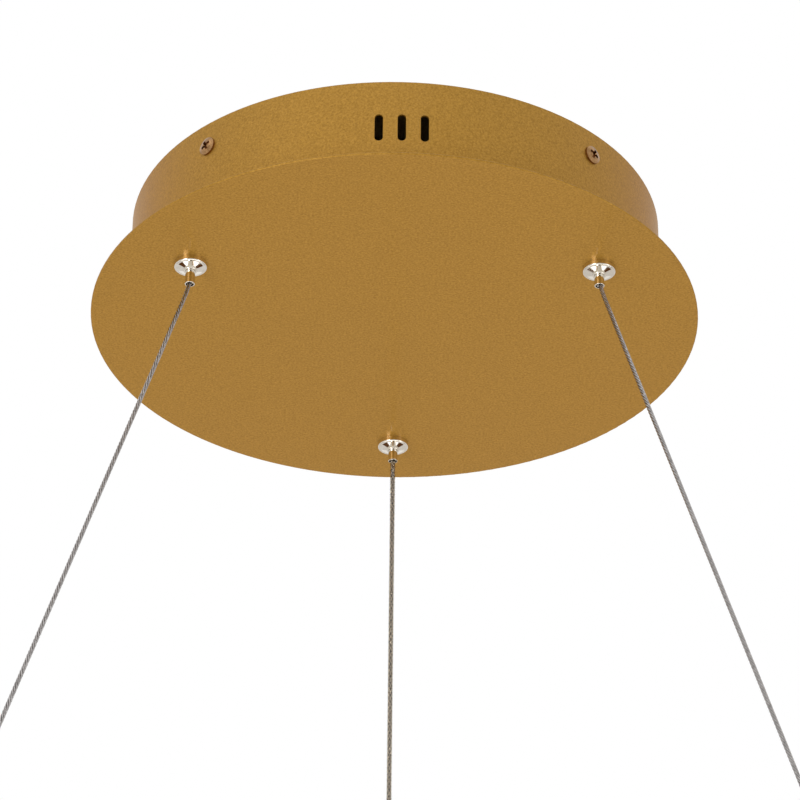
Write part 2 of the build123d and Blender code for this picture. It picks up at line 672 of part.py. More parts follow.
key_half_width = ring_width / 2 - ring_wall - key_fit
key_low, key_top = cell_low + key_fit, cell_top - key_fit
screw_low = ring_top - key_fit - key_screw_length
keys = []
for seam in seam_angles:
    key = Rot(Z=seam - key_reach) * turned([
        (ring_middle_radius - key_half_width, key_low), (ring_middle_radius + key_half_width, key_low),
        (ring_middle_radius + key_half_width, key_top), (ring_middle_radius - key_half_width, key_top)],
        2 * key_reach)
    for turn in (-key_screw_angle, key_screw_angle):
        key -= spot(seam + turn, ring_middle_radius) * disc(key_screw_diameter + 2 * thread_clearance,
                                                            screw_low - thread_clearance, key_top)
    keys.append(key)
save("splice_keys", *keys)
key_screw = disc(key_screw_diameter, screw_low, ring_top - key_fit)
key_screw -= Pos(0, 0, ring_top - key_fit - key_screw_socket) * extrude(
    RegularPolygon(key_screw_socket / sqrt(3), 6), key_screw_socket)
save("splice_screws", *[spot(angle, ring_middle_radius) * key_screw for angle in key_screw_angles])

lens_out = outer - ring_wall - diffuser_fit
lens_in = inner + ring_wall + diffuser_fit
snap_low, snap_high = groove_low + diffuser_fit, groove_high - diffuser_fit
snap_out, snap_in = lens_out + groove_depth, lens_in - groove_depth
leg_top, lens_top = snap_high + diffuser_leg, ring_low + diffuser_thickness
lens_corners = [
    (lens_in, ring_low), (lens_out, ring_low), (lens_out, snap_low), (snap_out, snap_low),
    (snap_out, snap_high), (lens_out, snap_high), (lens_out, leg_top),
    (lens_out - diffuser_leg, leg_top), (lens_out - diffuser_leg, lens_top), (lens_in + diffuser_leg, lens_top),
    (lens_in + diffuser_leg, leg_top), (lens_in, leg_top), (lens_in, snap_high),
    (snap_in, snap_high), (snap_in, snap_low), (lens_in, snap_low)]
for name, start in ring_halves.items():
    save(f"diffuser_{name}", half_ring(start, lens_corners))

strip_low = web_low - board_thickness
strip = turned([
    (ring_middle_radius - board_width / 2, strip_low), (ring_middle_radius + board_width / 2, strip_low),
    (ring_middle_radius + board_width / 2, web_low), (ring_middle_radius - board_width / 2, web_low)])
strip -= spot(gripper_angles["rear"], ring_middle_radius) * disc(anchor_bore, strip_low, web_low)
save("led_strip", strip)
led = Pos(ring_middle_radius, 0, strip_low - led_height / 2) * Box(led_width, led_length, led_height)
led_step = 360 / led_count
first_led = gripper_angles["rear"] + led_step / 2
save("leds", *[Rot(Z=first_led + number * led_step) * led for number in range(led_count)])

# ---------------------------------------------------------------- anchors on the ring
anchor_foot = ring_top + rivet_flange_thickness
anchor_top = anchor_foot + anchor_height
mouth_radius = anchor_throat / 2 + anchor_mouth_depth * tan(radians(anchor_mouth_angle))
anchor_radius, shank_radius = anchor_diameter / 2, anchor_thread / 2
anchor = turned([
    (anchor_bore / 2, anchor_foot - anchor_shank), (shank_radius, anchor_foot - anchor_shank),
    (shank_radius, anchor_foot), (anchor_radius, anchor_foot), (anchor_radius, anchor_top),
    (mouth_radius, anchor_top), (anchor_throat / 2, pivot), (anchor_bore / 2, pivot)],
    rounds={4: min(anchor_top_round, (anchor_radius - mouth_radius) * 0.8)})
grub_z = anchor_foot + anchor_screw_height
grub_hole = Rot(Y=90) * Cylinder(anchor_screw_diameter / 2 + thread_clearance, anchor_radius)
anchor -= Pos(anchor_radius / 2 + 0.1, 0, grub_z) * grub_hole
save("wire_anchors", *[spot(angle, ring_middle_radius) * anchor for angle in gripper_angles.values()])

grubs = []
for side, angle in gripper_angles.items():
    tip = wire_diameters[side] / 2 + running_clearance
    length = anchor_radius - 0.3 - tip
    grub = Rot(Y=90) * (Cylinder(anchor_screw_diameter / 2, length)
                        - Pos(0, 0, length / 2) * Box(0.6, anchor_screw_diameter, 1.2))
    grubs.append(spot(angle, ring_middle_radius) * Pos(tip + length / 2, 0, grub_z) * grub)
save("anchor_screws", *grubs)

rivet = disc(rivet_diameter, ring_top - rivet_length + rivet_flange_thickness, ring_top)
rivet += disc(rivet_flange_diameter, ring_top, anchor_foot)
rivet -= disc(anchor_thread + 2 * thread_clearance, ring_top - rivet_length, anchor_foot)
save("rivet_nuts", *[spot(angle, ring_middle_radius) * rivet for angle in gripper_angles.values()])

fixed_top = pivot - wire_end_gap
save("rope_ends", *[spot(gripper_angles[side], ring_middle_radius)
                    * disc(rope_diameter, fixed_top - rope_end_length, fixed_top) for side in rope_sides])
save("cable_end", spot(gripper_angles["rear"], ring_middle_radius)
     * disc(cable_diameter, strip_low - led_height, fixed_top))
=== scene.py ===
"""Looks of a light ring that hangs from a round canopy by two wire ropes and a power cable.

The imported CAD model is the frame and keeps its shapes. This script gives every node its real
finish, and replaces the plain wires, leads and springs by stranded, braided and coiled ones.
Lengths are in metres, or in millimetres where a name or docstring says so.
"""

import logging
import math
from dataclasses import dataclass
from enum import Enum

import bpy
from mathutils import Matrix, Vector


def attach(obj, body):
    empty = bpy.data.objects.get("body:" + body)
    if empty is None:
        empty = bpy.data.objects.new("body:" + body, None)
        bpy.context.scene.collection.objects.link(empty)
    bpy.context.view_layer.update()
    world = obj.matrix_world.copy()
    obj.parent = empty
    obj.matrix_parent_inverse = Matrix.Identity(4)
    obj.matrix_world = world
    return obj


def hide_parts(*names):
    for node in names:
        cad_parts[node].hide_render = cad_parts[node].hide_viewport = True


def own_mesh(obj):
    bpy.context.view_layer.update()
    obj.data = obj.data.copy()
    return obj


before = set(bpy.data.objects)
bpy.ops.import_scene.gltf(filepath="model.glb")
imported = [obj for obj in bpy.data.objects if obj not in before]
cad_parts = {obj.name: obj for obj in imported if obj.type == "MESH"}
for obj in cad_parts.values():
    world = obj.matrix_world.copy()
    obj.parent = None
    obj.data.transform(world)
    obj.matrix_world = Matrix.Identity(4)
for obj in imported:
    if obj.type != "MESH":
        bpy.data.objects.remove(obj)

LOG = logging.getLogger("light_ring")
MM = 0.001
UP = Vector((0.0, 0.0, 1.0))

# A point just below the canopy, which the lamps and cards face. Metres.
AIM = Vector((0.0, 0.0, -0.1))

# The grippers stand on this radius, turned with the plate by this angle. Millimetres and degrees.
GRIPPER_RADIUS = 94.5
GRIPPER_TURN = -1.1

# The parts of a noise's values that are stretched to a full change of colour or of gloss.
MOTTLE_SPAN = (0.12, 0.4)
CLOUD_SPAN = (0.3, 0.7)
FLAKE_COLOUR_SPAN = (0.35, 0.95)
FLAKE_GLOSS_SPAN = (0.3, 1.0)
FULL_SPAN = (0.0, 1.0)

# The number that a drawn wire's sides are asked for by.
FOUR_SIDES, SIX_SIDES, EIGHT_SIDES, TEN_SIDES = range(4)


class Side(Enum):
    """The three wire grippers, by their angle round the canopy in degrees."""

    LEFT = -150.0 + GRIPPER_TURN
    RIGHT = -30.0 + GRIPPER_TURN
    REAR = 90.0 + GRIPPER_TURN

    @property
    def word(self) -> str:
        """The side's name as the CAD nodes spell it."""
        return self.name.lower()

    def place(self, radius: float, height: float, across: float = 0.0) -> Vector:
        """A point on this side's upright plane.

        Args:
            radius: Distance from the canopy's axis in millimetres.
            height: Height above the ceiling plane in millimetres.
            across: Distance to the left of the plane in millimetres.

        Returns:
            The point in metres.
        """
        turn = Matrix.Rotation(math.radians(self.value), 3, "Z")
        return turn @ Vector((radius, across, height)) * MM


def linear(code: str) -> tuple[float, float, float, float]:
    """Turn an sRGB hex colour into linear red, green, blue and alpha.

    Args:
        code: The colour as "#RRGGBB".

    Returns:
        Four linear values.
    """
    shares = [int(code[start:start + 2], 16) / 255 for start in (1, 3, 5)]
    return (*(share / 12.92 if share <= 0.04045 else ((share + 0.055) / 1.055) ** 2.4
              for share in shares), 1.0)


def add_node(tree: bpy.types.NodeTree, kind: str, inputs: dict | None = None,
             **settings: object) -> bpy.types.Node:
    """Add one node with its settings, values and links.

    Args:
        tree: The node tree that gets it.
        kind: The node's type.
        inputs: A value, or an output socket to link, for each input by name or number.
        settings: The node's own properties.

    Returns:
        The new node.
    """
    node = tree.nodes.new(kind)
    for name, value in settings.items():
        setattr(node, name, value)
    for name, value in (inputs or {}).items():
        if isinstance(value, bpy.types.NodeSocket):
            tree.links.new(value, node.inputs[name])
        else:
            node.inputs[name].default_value = value
    return node


def stretch_span(tree: bpy.types.NodeTree, value: bpy.types.NodeSocket, span: tuple[float, float],
                 low: float = 0.0, high: float = 1.0) -> bpy.types.NodeSocket:
    """Stretch a span of a value to a new range.

    Args:
        tree: The node tree.
        value: The value to stretch.
        span: Where the value gives low and high.
        low: The result at the span's start.
        high: The result at the span's end.

    Returns:
        The stretched value.
    """
    return add_node(tree, "ShaderNodeMapRange", {
        "Value": value, "From Min": span[0], "From Max": span[1],
        "To Min": low, "To Max": high}).outputs[0]


def empty_material(name: str) -> bpy.types.Material:
    """Make a material whose node tree has nothing in it yet."""
    made = bpy.data.materials.new(name)
    made.use_nodes = True
    made.node_tree.nodes.clear()
    return made


# ---------------------------------------------------------------- finishes
@dataclass(frozen=True)
class Finish:
    """A real finish: its two colours, its gloss, and the size and depth of its grain.

    The plain one is a fine grain over broad, faint clouds. The widths of grain and cloud and the
    depth of the bump are in millimetres; wander is how far the roughness strays either way.
    """

    name: str
    colour: str
    shade: str
    roughness: float
    metallic: float = 0.0
    ior: float = 1.5
    grain: float = 0.8
    depth: float = 0.01
    cloud: float = 14.0
    wander: float = 0.06
    stretch: tuple[float, float, float] = (1.0, 1.0, 1.0)
    least_roughness: float = 0.02

    def material(self) -> bpy.types.Material:
        """Build the material once, and return it."""
        made = bpy.data.materials.get(self.name)
        if made is None:
            made = empty_material(self.name)
            made.diffuse_color = linear(self.colour)
            made.metallic = self.metallic
            made.roughness = self.roughness
            self.paint(made.node_tree)
        return made

    def shader(self, tree: bpy.types.NodeTree, **sockets: object) -> None:
        """Add the surface shader and the output.

        Args:
            tree: The material's nodes.
            sockets: Values and links by socket name, with _ for a space.
        """
        inputs = {"Metallic": self.metallic}
        if not self.metallic:
            inputs["IOR"] = self.ior
        inputs.update({name.replace("_", " "): value for name, value in sockets.items()})
        surface = add_node(tree, "ShaderNodeBsdfPrincipled", inputs)
        add_node(tree, "ShaderNodeOutputMaterial", {"Surface": surface.outputs[0]})

    def noise(self, tree: bpy.types.NodeTree, size: float,
              detail: float = 2.0) -> bpy.types.NodeSocket:
        """A noise whose blotches have a real size.

        Args:
            tree: The material's nodes.
            size: Width of a blotch in millimetres.
            detail: Octaves of finer noise on top.

        Returns:
            The noise's value.
        """
        place = add_node(tree, "ShaderNodeTexCoord").outputs["Object"]
        if self.stretch != (1.0, 1.0, 1.0):
            place = add_node(tree, "ShaderNodeMapping", {
                "Vector": place, "Scale": self.stretch}).outputs[0]
        return add_node(tree, "ShaderNodeTexNoise", {
            "Vector": place, "Scale": 1 / (size * MM), "Detail": detail}).outputs[0]

    def tint(self, tree: bpy.types.NodeTree, share: bpy.types.NodeSocket) -> bpy.types.NodeSocket:
        """Mix the shade and the colour, by the colour's share."""
        return add_node(tree, "ShaderNodeMix", {
            0: share, 6: linear(self.shade), 7: linear(self.colour)},
            data_type="RGBA").outputs[2]

    def paint(self, tree: bpy.types.NodeTree) -> None:
        """Link clouds and grain to the colour, the gloss and the bump."""
        grain, cloud = self.noise(tree, self.grain), self.noise(tree, self.cloud)
        mottle = add_node(tree, "ShaderNodeMath", {0: grain, 1: cloud}, operation="MULTIPLY")
        share = stretch_span(tree, mottle.outputs[0], MOTTLE_SPAN)
        gloss = stretch_span(tree, cloud, CLOUD_SPAN, self.roughness + self.wander,
                             max(self.least_roughness, self.roughness - self.wander))
        bump = add_node(tree, "ShaderNodeBump", {"Height": grain, "Distance": self.depth * MM})
        self.shader(tree, Base_Color=self.tint(tree, share), Roughness=gloss,
                    Normal=bump.outputs[0])


@dataclass(frozen=True)
class PowderCoat(Finish):
    """Metallic powder paint: flakes that each catch the light, over a fine orange peel.

    The widths of a flake and of the peel are in millimetres, and the peel is some times deeper
    than the flakes. The edge tint keeps a wall gold where it is seen at a flat angle.
    """

    flake: float = 0.45
    flake_in_colour: float = 0.3
    flake_in_gloss: float = 0.35
    grain_detail: float = 3.0
    peel: float = 1.7
    peel_depths: float = 3.0
    sparkle: float = 0.5
    gloss_coat: float = 0.14
    coat_roughness: float = 0.14
    edge_tint: str = "#C99A45"

    def paint(self, tree: bpy.types.NodeTree) -> None:
        """Link flakes to the colour and the gloss, and flakes and peel to the bump."""
        place = add_node(tree, "ShaderNodeTexCoord").outputs["Object"]
        flakes = add_node(tree, "ShaderNodeTexVoronoi", {
            "Vector": place, "Scale": 1 / (self.flake * MM)})
        flake = add_node(tree, "ShaderNodeSeparateColor", {"Color": flakes.outputs["Color"]})
        grain = self.noise(tree, self.grain, self.grain_detail)
        peel = self.noise(tree, self.peel)
        cloud = self.noise(tree, self.cloud)
        mottle = add_node(tree, "ShaderNodeMath", {
            0: flake.outputs[0], 1: self.flake_in_colour, 2: grain}, operation="MULTIPLY_ADD")
        share = stretch_span(tree, mottle.outputs[0], FLAKE_COLOUR_SPAN)
        blend = add_node(tree, "ShaderNodeMath", {
            0: flake.outputs[1], 1: self.flake_in_gloss, 2: cloud}, operation="MULTIPLY_ADD")
        gloss = stretch_span(tree, blend.outputs[0], FLAKE_GLOSS_SPAN,
                             self.roughness + self.wander, self.roughness - self.wander)
        fine = add_node(tree, "ShaderNodeBump", {
            "Height": flake.outputs[2], "Distance": self.depth * MM, "Strength": self.sparkle})
        wavy = add_node(tree, "ShaderNodeBump", {
            "Height": peel, "Distance": self.peel_depths * self.depth * MM,
            "Normal": fine.outputs[0]})
        self.shader(tree, Base_Color=self.tint(tree, share), Roughness=gloss,
                    Normal=wavy.outputs[0], Specular_Tint=linear(self.edge_tint),
                    Coat_Weight=self.gloss_coat, Coat_Roughness=self.coat_roughness)


@dataclass(frozen=True)
class ClearMoulding(Finish):
    """Clear or milky plastic. The share of the light that passes through it is passes."""

    passes: float = 1.0

    def paint(self, tree: bpy.types.NodeTree) -> None:
        """Link faint flow marks to the gloss and the bump."""
        grain = self.noise(tree, self.grain)
        gloss = stretch_span(tree, grain, FULL_SPAN,
                             self.roughness - self.wander, self.roughness + self.wander)
        bump = add_node(tree, "ShaderNodeBump", {"Height": grain, "Distance": self.depth * MM})
        self.shader(tree, Base_Color=self.tint(tree, grain), Roughness=gloss,
                    Normal=bump.outputs[0], Transmission_Weight=self.passes)


# Metallic gold powder paint on pressed steel: glitter that breaks up every reflection. A flake
# is really about 0.05 mm, and is drawn as coarse as the photograph's speckle.
GOLD_PAINT = PowderCoat("gold_powder_paint", "#B98C3D", "#976F2A", 0.45, 0.5, grain=0.9,
                        depth=0.006, cloud=60.0, wander=0.05)
# The same paint on the extruded aluminium ring: a little smoother, with a tighter highlight.
GOLD_RING = PowderCoat("gold_paint_on_extrusion", "#B98C3D", "#99712A", 0.4, 0.5, grain=0.9,
                       depth=0.005, cloud=80.0, wander=0.05)
# Bright nickel on turned brass: a mirror with faint tool marks round it.
NICKEL = Finish("bright_nickel_plate", "#E9E4DA", "#DAD3C6", 0.07, 1.0, grain=0.5, depth=0.001,
                cloud=6.0, wander=0.02, stretch=(0.2, 0.2, 3.0))
# Champagne plating on rolled steel screws: a soft, warm sheen.
SCREW_NICKEL = Finish("champagne_plated_screw", "#B58C60", "#7F5E3C", 0.2, 1.0, grain=0.3,
                      depth=0.003, cloud=2.0)
# Zinc plate on pressed steel: a cool grey sheen with broad, uneven clouds.
ZINC = Finish("zinc_plated_steel", "#C9CBCB", "#A9ADB0", 0.34, 1.0, grain=1.2, depth=0.004,
              cloud=9.0)
# Hardened balls as they are ground: small, sharp highlights.
HARD_STEEL = Finish("ground_ball_steel", "#C6C4BF", "#AEACA6", 0.14, 1.0, grain=0.2,
                    depth=0.001, cloud=1.0)
# Spring wire as it is drawn: a satin grey, a shade darker than plated steel.
SPRING_STEEL = Finish("drawn_spring_wire", "#A6A49E", "#86847E", 0.26, 1.0, grain=0.2,
                      depth=0.003, cloud=1.5)
# Galvanised rope wire: one bright line along each strand, which the lay breaks into stripes.
ROPE_STEEL = Finish("drawn_rope_wire", "#C6C2C0", "#8E8A88", 0.2, 1.0, grain=0.25,
                    depth=0.002, cloud=1.3)
# The rope's core, drawn nearly black: painted shade in the grooves between the strands, so that the
# stripes stand out.
ROPE_GROOVE_SHADE = Finish("rope_core_painted_groove_shade", "#2E2B28", "#1E1C1A", 0.5, grain=0.3,
                     depth=0.004, cloud=1.5)
# Tinned copper braid: silvery, and warmer where the tin is thin.
BRAID = Finish("tinned_copper_braid", "#D0C5B8", "#A09282", 0.3, 1.0, grain=0.3, depth=0.004,
               cloud=0.9, wander=0.1)
# Dark insulation under the braid: the brown specks between its wires.
CABLE_CORE = Finish("cores_under_braid", "#2C251F", "#1C1814", 0.5, grain=0.3, depth=0.01,
                    cloud=1.0)
# Clear soft plastic round the braid: a thin gloss with a line of light along it.
SHEATH = ClearMoulding("clear_pvc_sheath", "#F4F2EC", "#ECE9E0", 0.08, ior=1.5, grain=1.2,
                       depth=0.002, wander=0.03)
# Turned brass without plate: warm yellow, with a soft sheen.
BRASS = Finish("turned_brass", "#D8B566", "#B08C44", 0.24, 1.0, grain=0.25, depth=0.002,
               cloud=3.0)
# Tin over pressed brass: a dull silver with a warm tone left in it.
TINNED = Finish("tinned_brass", "#D2D0C8", "#B3B0A6", 0.3, 1.0, grain=0.4, depth=0.004,
                cloud=3.0)
# Aluminium bar as it leaves the mill: pale, cool and half matt.
ALUMINIUM = Finish("mill_aluminium", "#C8C9CA", "#AEB0B2", 0.32, 1.0, grain=0.8, depth=0.004,
                   cloud=10.0)
# Aluminium pressed round a rope: duller than the bar, and uneven from the tool.
CRIMP = Finish("crimped_aluminium", "#BFC0C0", "#9EA0A2", 0.36, 1.0, grain=0.4, depth=0.006,
               cloud=2.0)
# Moulded black rubber: matt, with only a broad, faint highlight.
RUBBER = Finish("moulded_rubber", "#1B1B1C", "#101011", 0.72, grain=0.5, depth=0.02, cloud=5.0)
# Fine-textured white moulding: an even, low sheen.
CASE_PLASTIC = Finish("moulded_white_case", "#E6E5DF", "#D6D4CC", 0.46, grain=0.35,
                      depth=0.012, cloud=20.0)
# Green lacquer over woven glass fibre: glossy, and slightly mottled.
BOARD = Finish("glass_fibre_board", "#2F6B3F", "#24552F", 0.36, grain=0.6, depth=0.004,
               cloud=8.0)
# White solder mask on the LED strip: a smooth, bright ground for the LEDs.
STRIP = Finish("white_solder_mask", "#EDEEEA", "#DDDED8", 0.34, grain=0.6, depth=0.004,
               cloud=8.0)
# Moulded black electronic parts: dark and half matt.
COMPONENTS = Finish("moulded_black_parts", "#232428", "#15161A", 0.5, grain=0.4, depth=0.01,
                    cloud=6.0)
# Moulded natural nylon: off-white, with a waxy sheen.
TERMINAL = Finish("moulded_nylon", "#E9E5D8", "#D5CFBE", 0.42, grain=0.5, depth=0.01, cloud=9.0)
# Soft plastic drawn over a lead: plain colours with one long, soft highlight. The earth lead
# mixes its green and its yellow.
LEAD_BROWN = Finish("brown_pvc_insulation", "#6B3F25", "#57321D", 0.38, grain=0.6,
                    depth=0.004, cloud=6.0)
LEAD_BLUE = Finish("blue_pvc_insulation", "#2C62A8", "#234F8A", 0.38, grain=0.6, depth=0.004,
                   cloud=6.0)
LEAD_GREEN = Finish("green_pvc_insulation", "#3E8F3F", "#B9C22B", 0.38, grain=0.6,
                    depth=0.004, cloud=6.0)
# Opal acrylic: milky white, through which very little can be seen.
OPAL = ClearMoulding("opal_acrylic", "#F4F4F0", "#EEEEEA", 0.32, ior=1.49, grain=1.5,
                     depth=0.002, wander=0.03, passes=0.08)
# Silicone filled with phosphor: a soft yellow square on each LED.
PHOSPHOR = Finish("led_phosphor", "#F2D76A", "#E8E2C0", 0.4, grain=0.8, depth=0.004, cloud=2.0)

NODE_FINISHES: dict[Finish, tuple[str, ...]] = {
    GOLD_PAINT: ("canopy_drum", "canopy_plate"),
    GOLD_RING: ("ring_channel_back", "ring_channel_front"),
    NICKEL: ("gripper_body_left", "gripper_body_right", "gripper_body_rear", "release_sleeve_left",
             "release_sleeve_right", "release_sleeve_rear", "wire_anchors"),
    SCREW_NICKEL: ("cover_screws",),
    ZINC: ("ceiling_pan", "ear_nuts", "gripper_nuts", "gripper_washers", "pan_stud_nuts",
           "pan_studs", "plate_stud_nuts", "plate_studs", "rivet_nuts", "splice_screws",
           "anchor_screws"),
    HARD_STEEL: ("jaw_balls_left", "jaw_balls_right", "jaw_balls_rear"),
    BRASS: ("gripper_bushes", "spring_cup_left", "spring_cup_right", "spring_cup_rear",
            "terminal_inserts", "terminal_screws"),
    TINNED: ("earth_lug",),
    ALUMINIUM: ("splice_keys",),
    CRIMP: ("rope_stops",),
    RUBBER: ("mains_grommet",),
    CASE_PLASTIC: ("driver_case", "driver_lid"),
    BOARD: ("driver_board",),
    STRIP: ("led_strip",),
    COMPONENTS: ("driver_components",),
    TERMINAL: ("terminal_block",),
    OPAL: ("diffuser_back", "diffuser_front"),
    PHOSPHOR: ("leds",),
}


def dress(node: bpy.types.Object, finish: Finish) -> None:
    """Give an object one finish all over."""
    node.data.materials.clear()
    node.data.materials.append(finish.material())


# ---------------------------------------------------------------- wires
def points(*places: tuple[float, float, float]) -> list[Vector]:
    """Turn places in millimetres into points in metres."""
    return [Vector(place) * MM for place in places]


def centreline(route: list[Vector]) -> list[Vector]:
    """Read the smooth line that a route's points control.

    Args:
        route: Control points in metres.

    Returns:
        Points along the NURBS line.
    """
    curve = bpy.data.curves.new("route", "CURVE")
    curve.dimensions = "3D"
    spline = curve.splines.new("NURBS")
    spline.points.add(len(route) - 1)
    for control, place in zip(spline.points, route):
        control.co = (*place, 1.0)
    spline.order_u = 3
    spline.use_endpoint_u = True
    spline.resolution_u = 32
    holder = bpy.data.objects.new("route", curve)
    mesh = bpy.data.meshes.new_from_object(holder)
    line = [vertex.co.copy() for vertex in mesh.vertices]
    bpy.data.meshes.remove(mesh)
    bpy.data.objects.remove(holder)
    bpy.data.curves.remove(curve)
    return line


def walk(line: list[Vector], step: float) -> list[tuple[float, Vector, Vector, Vector]]:
    """Walk a line at even steps, carrying a cross direction along it without twist.

    Args:
        line: Points along the line.
        step: Distance between two stops, rounded so that the last one is the line's end.

    Returns:
        Distance, place, cross direction and second cross direction of each stop.
    """
    runs = [(after - before).length for before, after in zip(line, line[1:])]
    total = sum(runs)
    count = max(2, round(total / step))
    cross = (line[1] - line[0]).orthogonal().normalized()
    stops, index, passed = [], 0, 0.0
    for number in range(count + 1):
        distance = total * number / count
        while index < len(runs) - 1 and passed + runs[index] < distance:
            passed += runs[index]
            index += 1
        ahead = (line[index + 1] - line[index]).normalized()
        place = line[index] + ahead * (distance - passed)
        cross = (cross - ahead * cross.dot(ahead)).normalized()
        stops.append((distance, place, cross, ahead.cross(cross)))
    return stops


def drawn_wires(name: str, threads: list[list[Vector]], radius: float,
                sides: int) -> bpy.types.Object:
    """Draw round wires along their own lines, as one mesh.

    Args:
        name: The piece's name.
        threads: The points of each wire.
        radius: Radius of a wire in metres.
        sides: FOUR_SIDES, SIX_SIDES, EIGHT_SIDES or TEN_SIDES.

    Returns:
        The mesh object, at the origin.
    """
    curve = bpy.data.curves.new(name, "CURVE")
    curve.dimensions = "3D"
    curve.bevel_depth = radius
    curve.bevel_resolution = sides
    curve.use_fill_caps = True
    for thread in threads:
        spline = curve.splines.new("POLY")
        spline.points.add(len(thread) - 1)
        spline.points.foreach_set("co", [value for place in thread for value in (*place, 1.0)])
    holder = bpy.data.objects.new(name, curve)
    mesh = bpy.data.meshes.new_from_object(holder)
    bpy.data.objects.remove(holder)
    bpy.data.curves.remove(curve)
    mesh.polygons.foreach_set("use_smooth", [True] * len(mesh.polygons))
    piece = bpy.data.objects.new(name, mesh)
    bpy.context.scene.collection.objects.link(piece)
    return piece


@dataclass
class StrandedRope:
    """A steel wire rope: round strands laid to the right over a core whose dark colour is painted
    groove shade. Millimetres.
    """

    diameter: float = 1.8
    strands: int = 6
    strand: float = 0.52
    lay: float = 11.0
    core: float = 1.54
    steps_in_lay: int = 18

    def build(self, name: str, route: list[Vector]) -> bpy.types.Object:
        """Lay the rope along a route.

        Args:
            name: The piece's name.
            route: Control points in metres.

        Returns:
            The rope as one mesh.
        """
        ring = (self.diameter - self.strand) / 2 * MM
        stops = walk(centreline(route), self.lay / self.steps_in_lay * MM)
        threads = []
        for number in range(self.strands):
            thread = []
            for distance, place, cross, other in stops:
                angle = math.tau * (number / self.strands - distance / (self.lay * MM))
                thread.append(place + ring * (math.cos(angle) * cross + math.sin(angle) * other))
            threads.append(thread)
        line = [place for _, place, _, _ in stops]
        core = drawn_wires(f"{name}_core", [line], self.core / 2 * MM, SIX_SIDES)
        piece = drawn_wires(name, threads, self.strand / 2 * MM, EIGHT_SIDES)
        # The core's near-black colour is painted shade in the grooves between the strands.
        dress(core, ROPE_GROOVE_SHADE)
        dress(piece, ROPE_STEEL)
        return join(piece, core)


@dataclass
class BraidedCable:
    """A thin power cable: a coarse tinned braid over dark cores, in a clear sheath. Millimetres.

    The wires of a carrier lie side by side, and those of the two ways rise and dip over each
    other. The spacing of neighbours and the rise are shares of a wire's diameter.
    """

    diameter: float = 2.2
    sheath_wall: float = 0.08
    carriers: int = 4
    wires_in_carrier: int = 2
    lay: float = 10.8
    wire: float = 0.27
    rise: float = 0.42
    spacing: float = 1.1
    steps_in_lay: int = 16

    def build(self, name: str, route: list[Vector]) -> tuple[bpy.types.Object, bpy.types.Object]:
        """Lay the cable along a route.

        Args:
            name: The start of both pieces' names.
            route: Control points in metres.

        Returns:
            The braid over its core, and the sheath.
        """
        outer = self.diameter / 2 - self.sheath_wall
        rise = self.wire * self.rise
        middle = outer - self.wire / 2 - rise
        stops = walk(centreline(route), self.lay / self.steps_in_lay * MM)
        threads = []
        for way in (-1, 1):
            for number in range(self.carriers * self.wires_in_carrier):
                carrier, beside = divmod(number, self.wires_in_carrier)
                off_middle = beside - (self.wires_in_carrier - 1) / 2
                shift = off_middle * self.wire * self.spacing / middle
                thread = []
                for distance, place, cross, other in stops:
                    turns = distance / (self.lay * MM)
                    angle = math.tau * (carrier / self.carriers + way * turns) + shift
                    reach = (middle + way * rise * math.cos(math.tau * self.carriers * turns)) * MM
                    outward = math.cos(angle) * cross + math.sin(angle) * other
                    thread.append(place + reach * outward)
                threads.append(thread)
        line = [place for _, place, _, _ in stops]
        core = drawn_wires(f"{name}_core", [line], (middle - rise) * MM, EIGHT_SIDES)
        braid = drawn_wires(f"{name}_braid", threads, self.wire / 2 * MM, FOUR_SIDES)
        sheath = drawn_wires(f"{name}_sheath", [line], self.diameter / 2 * MM, TEN_SIDES)
        wall = sheath.modifiers.new("wall", "SOLIDIFY")
        wall.thickness, wall.offset = self.sheath_wall * MM, -1.0
        bpy.ops.object.select_all(action="DESELECT")
        bpy.context.view_layer.objects.active = sheath
        bpy.ops.object.modifier_apply(modifier="wall")
        for part, finish in ((core, CABLE_CORE), (braid, BRAID), (sheath, SHEATH)):
            dress(part, finish)
        return join(braid, core), sheath


def join(piece: bpy.types.Object, other: bpy.types.Object) -> bpy.types.Object:
    """Join a second mesh into the first, and return the first."""
    bpy.ops.object.select_all(action="DESELECT")
    for part in (piece, other):
        part.select_set(True)
    bpy.context.view_layer.objects.active = piece
    bpy.ops.object.join()
    piece.select_set(False)
    return piece


@dataclass
class GripSpring:
    """The coil spring that keeps a gripper's balls on its wire.

    It stands from low to high at rest. Keep, the share of that which is left when the sleeve is
    pressed, is not used. Lengths are millimetres.
    """

    side: Side
    low: float
    high: float
    keep: float
    outer: float = 5.2
    wire: float = 0.5
    working_turns: float = 4.0
    steps_in_turn: int = 20

    def build(self) -> bpy.types.Object:
        """Wind the spring with one closed turn at each end."""
        middle = (self.outer - self.wire) / 2
        low, high = self.low + self.wire / 2, self.high - self.wire / 2
        turns = self.working_turns + 2
        pitch = (high - low - 2 * self.wire) / self.working_turns
        thread = []
        for step in range(round(turns * self.steps_in_turn) + 1):
            turn = step / self.steps_in_turn
            working = min(max(turn - 1, 0.0), self.working_turns)
            closed = max(0.0, turn - turns + 1)
            height = low + min(turn, 1.0) * self.wire + working * pitch + closed * self.wire
            angle = math.tau * turn
            thread.append(self.side.place(GRIPPER_RADIUS + middle * math.cos(angle), height,
                                          middle * math.sin(angle)))
        spring = drawn_wires(f"coil_spring_{self.side.word}", [thread], self.wire / 2 * MM,
                             EIGHT_SIDES)
        dress(spring, SPRING_STEEL)
        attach(spring, "canopy")
        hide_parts(f"grip_spring_{self.side.word}")
        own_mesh(spring)
        return spring


# Where each sleeve's mouth is, how far outside its axis the wire leaves it, and how far
# outside that axis the wire is where its bend ends. Millimetres.
MOUTHS = {Side.LEFT: (-55.1, 0.35, 0.8), Side.RIGHT: (-53.7, 0.5, 1.0),
          Side.REAR: (-54.2, 0.0, 0.4)}


